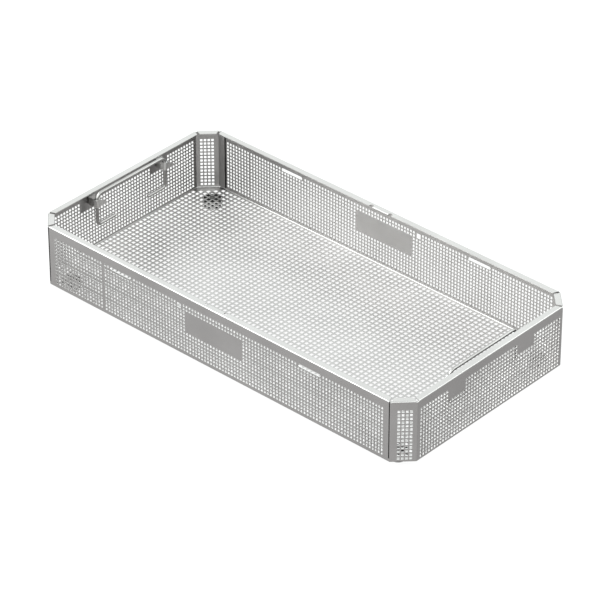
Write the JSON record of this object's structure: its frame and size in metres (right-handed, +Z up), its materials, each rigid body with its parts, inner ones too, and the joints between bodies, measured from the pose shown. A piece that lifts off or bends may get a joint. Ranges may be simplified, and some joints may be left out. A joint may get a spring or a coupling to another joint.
{
  "type": "perforated steel basket",
  "caption": "Shallow perforated steel basket with cut corners, a folded rim, plastic feet and wire lifting handles that slide up at both ends.",
  "frame": {"origin": "centre of the plan, on the plane of the feet's undersides", "axes": "+X along the basket's length, +Y across it, +Z up out of its open top"},
  "size_m": [0.48, 0.2462, 0.0777],
  "materials": {
    "sheet_steel": "satin stainless sheet",
    "wire_steel": "polished stainless wire",
    "foot_plastic": "black moulded"
  },
  "bodies": {
    "basket": {"basket_sheet": "sheet_steel", "handle_guide_left_near": "sheet_steel", "handle_guide_left_far": "sheet_steel", "handle_guide_right_near": "sheet_steel", "handle_guide_right_far": "sheet_steel", "foot_left_near": "foot_plastic", "foot_left_far": "foot_plastic", "foot_right_near": "foot_plastic", "foot_right_far": "foot_plastic", "foot_rivet_left_near": "wire_steel", "foot_rivet_left_far": "wire_steel", "foot_rivet_right_near": "wire_steel", "foot_rivet_right_far": "wire_steel"},
    "left_handle": {"handle_left": "wire_steel"},
    "right_handle": {"handle_right": "wire_steel"}
  },
  "joints": [
    {"name": "left_handle_slide", "type": "slide", "parent": "basket", "child": "left_handle", "axis": [0, 0, 1], "range_m": [0, 0.0179]},
    {"name": "right_handle_slide", "type": "slide", "parent": "basket", "child": "right_handle", "axis": [0, 0, 1], "range_m": [0, 0.0179]}
  ]
}
